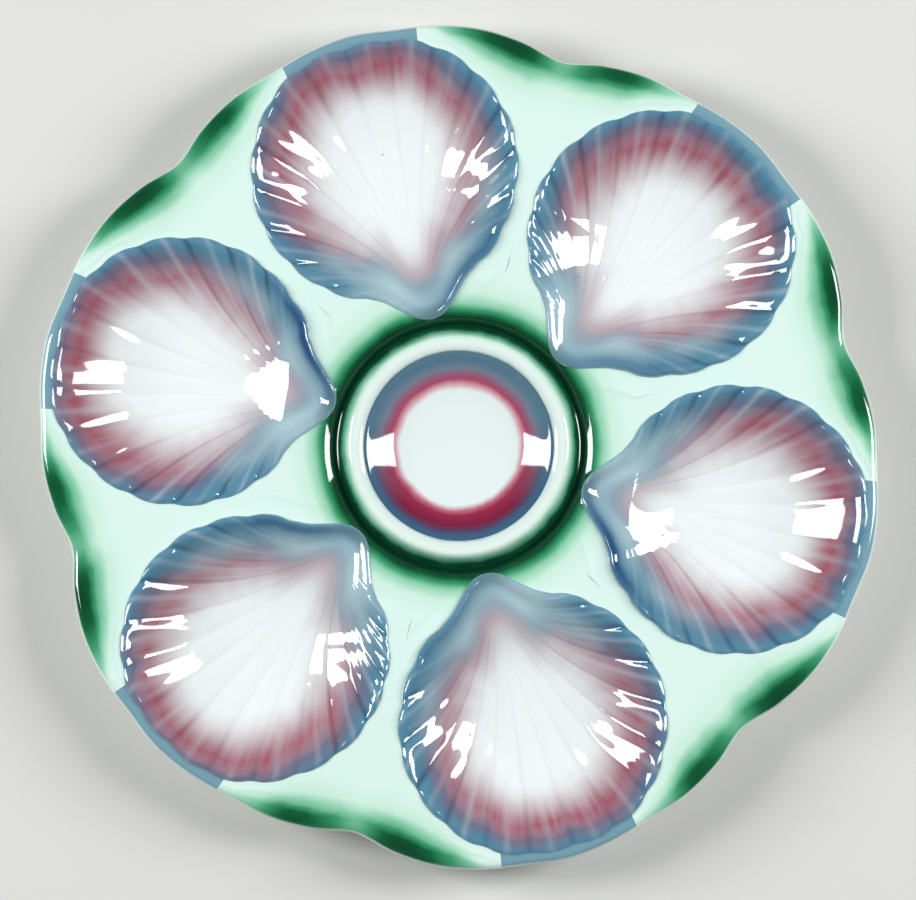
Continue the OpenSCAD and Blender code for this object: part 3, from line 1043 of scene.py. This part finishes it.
# Paint sprayed in rings: the stops run outwards from the plate's axis, in millimetres.
round_mist_mm = 7
ring_stops = [(26.2, "#7fa0b0"), (27.4, "#dceee9"), (29.5, "#e9f8f2"), (31.0, "#d2f2e2"), (32.2, "#7cc8a4"),
              (33.2, "#0d5f3c"), (34.2, "#002f1d")]
ring_span = 40
cup_upper_stops = [(16.4, "#e8f3f4"), (17.8, "#d9a7b2"), (19.2, "#ad4a68"), (20.6, "#99607a"),
                   (22.4, "#76869a"), (24.2, "#5d8296"), (26.2, "#577a8e")]
# Towards the lower side the crimson is painted darker and wider.
cup_lower_stops = [(16.6, "#e8f3f4"), (18.2, "#c06a80"), (19.5, "#962a4a"), (22.5, "#7f1d40"),
                   (24.0, "#5a4060"), (25.2, "#3f5f84"), (26.2, "#3d6280")]
cup_span = 30
cup_upper_y = 8
cup_lower_y = -16


def round_paint(tree, place, stops, span):
    """Paint by the distance from the axis, with a mist over its edges."""
    mist = add(tree, "TexNoise", place, per_mm(round_mist_mm), mist_detail)
    low = ring_mist_mm / 2
    way = add(tree, "MapRange", from_axis(tree, place), low * MM, (low + span) * MM)
    way = add(tree, "Math", mist, ring_mist_mm / span, way, operation="MULTIPLY_ADD")
    return add(tree, "ValToRGB", way, stops=spread_out(stops, 0, span))


def ring_material():
    # Mint glaze, thin and pale on the crest, with green stain pooled at the outer foot.
    material, tree, shader, place = start_glaze("lead-glazed earthenware, pale ring", gloss)
    glaze_surface(tree, shader, place, round_paint(tree, place, ring_stops, ring_span))
    return material


def cup_material():
    # Blue and crimson stains sprayed on a turning plate, darker towards the lower side, under
    # a lead glaze.
    name = "lead-glazed earthenware, blue and crimson cup"
    material, tree, shader, place = start_glaze(name, gloss)
    upper_paint = round_paint(tree, place, cup_upper_stops, cup_span)
    lower_paint = round_paint(tree, place, cup_lower_stops, cup_span)
    y = add(tree, "SeparateXYZ", place, output="Y")
    lower = add(tree, "MapRange", y, cup_upper_y * MM, cup_lower_y * MM)
    glaze_surface(tree, shader, place, add(tree, "Mix", lower, upper_paint, lower_paint, data_type="RGBA"))
    return material


# The foot's face: biscuit grain, how high it is wiped and how ragged, and its roughness and pits
grain_mm = 0.8
grain_detail = 4
wiped_h = 0.75
wiped_ragged = 0.6
biscuit_rough = 0.82
pit_h = 0.08
BISCUIT_DARK = "#d8c6a6"
BISCUIT_LIGHT = "#efe3cc"


def foot_material():
    # Glazed sides, and a face wiped bare before firing: buff, open-grained biscuit.
    name = "lead-glazed earthenware, foot with bare face"
    material, tree, shader, place = start_glaze(name, foot_gloss)
    height = add(tree, "SeparateXYZ", place, output="Z")
    grain = add(tree, "TexNoise", place, per_mm(grain_mm), grain_detail)
    wiped = add(tree, "Math", grain, wiped_ragged * MM, height, operation="MULTIPLY_ADD")
    bare = add(tree, "Math", wiped, wiped_h * MM, operation="LESS_THAN")
    biscuit = add(tree, "Mix", grain, paint(BISCUIT_DARK), paint(BISCUIT_LIGHT), data_type="RGBA")
    colour = add(tree, "Mix", bare, paint(BACK_GLAZE), biscuit, data_type="RGBA")
    tree.links.new(colour, shader.inputs["Base Color"])
    rough = add(tree, "MapRange", bare, 0, 1, foot_gloss, biscuit_rough)
    tree.links.new(rough, shader.inputs["Roughness"])
    pits = add(tree, "Math", grain, bare, operation="MULTIPLY")
    bump = add(tree, "Bump", 1, pit_h * MM, bump_filter, pits)
    tree.links.new(bump, shader.inputs["Normal"])
    return material


# Putting the plate together
def fit(piece, node, material):
    """Gives a piece its glaze, sets it under the root, and hides the node whose look it takes."""
    piece.data.materials.append(material)
    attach(piece, "root")
    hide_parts(node)


fit(make_ground(), "ground", web_material("lead-glazed earthenware, mint ground", False))
fit(make_rim_edge(), "rim_edge", web_material("lead-glazed earthenware, rim", True))
shell_finish = well_material()
for well_number in range(well_count):
    fit(make_well(well_number), f"shell_well_{well_number + 1}", shell_finish)
fit(make_cup_ring(), "cup_ring", ring_material())
fit(make_sauce_cup(), "sauce_cup", cup_material())
fit(make_foot(), "foot_ring", foot_material())

# Floor, lamps and camera
floor_size = 6
floor_rough = 0.9
PAPER = "#dcdcd8"
ROOM = "#f4f6f8"
room_light = 0.1

bpy.ops.object.select_all(action="DESELECT")
bpy.ops.mesh.primitive_plane_add(size=floor_size)
floor = bpy.context.object
floor.name = "floor"
floor_material = bpy.data.materials.new("matt pale paper")
floor_material.use_nodes = True
floor_shader = floor_material.node_tree.nodes["Principled BSDF"]
floor_shader.inputs["Base Color"].default_value = paint(PAPER)
floor_shader.inputs["Roughness"].default_value = floor_rough
floor.data.materials.append(floor_material)

world = bpy.data.worlds.new("pale room")
world.use_nodes = True
room = world.node_tree.nodes["Background"]
room.inputs["Color"].default_value = paint(ROOM)
room.inputs["Strength"].default_value = room_light
bpy.context.scene.world = world

# Two soft lamps, one to each side, which reach from low to high as angles from upright
lamp_distance = 1.2
lamp_radiance = 13.8
lamp_across = math.radians(17)
lamp_low = math.radians(33)
lamp_high = math.radians(68)
lamp_forward = 0.12


def softbox(name, side):
    """A soft lamp aimed at the plate, leaning from upright towards one side of it."""
    lamp = bpy.data.lights.new(name, "AREA")
    lamp.shape = "RECTANGLE"
    lamp.size = 2 * lamp_distance * math.tan((lamp_high - lamp_low) / 2)
    lamp.size_y = 2 * lamp_distance * math.tan(lamp_across / 2)
    lamp.energy = lamp_radiance * math.pi * lamp.size * lamp.size_y
    stand = bpy.data.objects.new(name, lamp)
    lean = (lamp_low + lamp_high) / 2
    stand.location = Vector((side * math.sin(lean), lamp_forward, math.cos(lean))) * lamp_distance
    stand.rotation_euler = stand.location.to_track_quat("Z", "X").to_euler()
    bpy.context.scene.collection.objects.link(stand)


softbox("left_softbox", -1)
softbox("right_softbox", 1)

# The camera looks at the middle of the plate as the photograph does, and is placed by its scale.
frame_w_px = 916
frame_h_px = 900
plate_middle_px = (458.7, 444.7)
px_per_mm = 3.562
camera_elevation = 86
camera_distance = 1.5
sensor_mm = 36

camera_data = bpy.data.cameras.new("camera")
camera = bpy.data.objects.new("camera", camera_data)
bpy.context.scene.collection.objects.link(camera)
aim = Vector((0, 0, (web_z + rim_rise) * MM))
camera_way = Vector((0, -cosd(camera_elevation), sind(camera_elevation)))
camera.location = aim + camera_way * camera_distance
camera.rotation_euler = (-camera_way).to_track_quat("-Z", "Y").to_euler()
camera_data.sensor_width = sensor_mm
camera_data.lens = sensor_mm * camera_distance / (frame_w_px / px_per_mm * MM)
camera_data.shift_x = (frame_w_px / 2 - plate_middle_px[0]) / frame_w_px
camera_data.shift_y = (plate_middle_px[1] - frame_h_px / 2) / frame_w_px
bpy.context.scene.camera = camera
bpy.context.scene.view_settings.view_transform = "Standard"
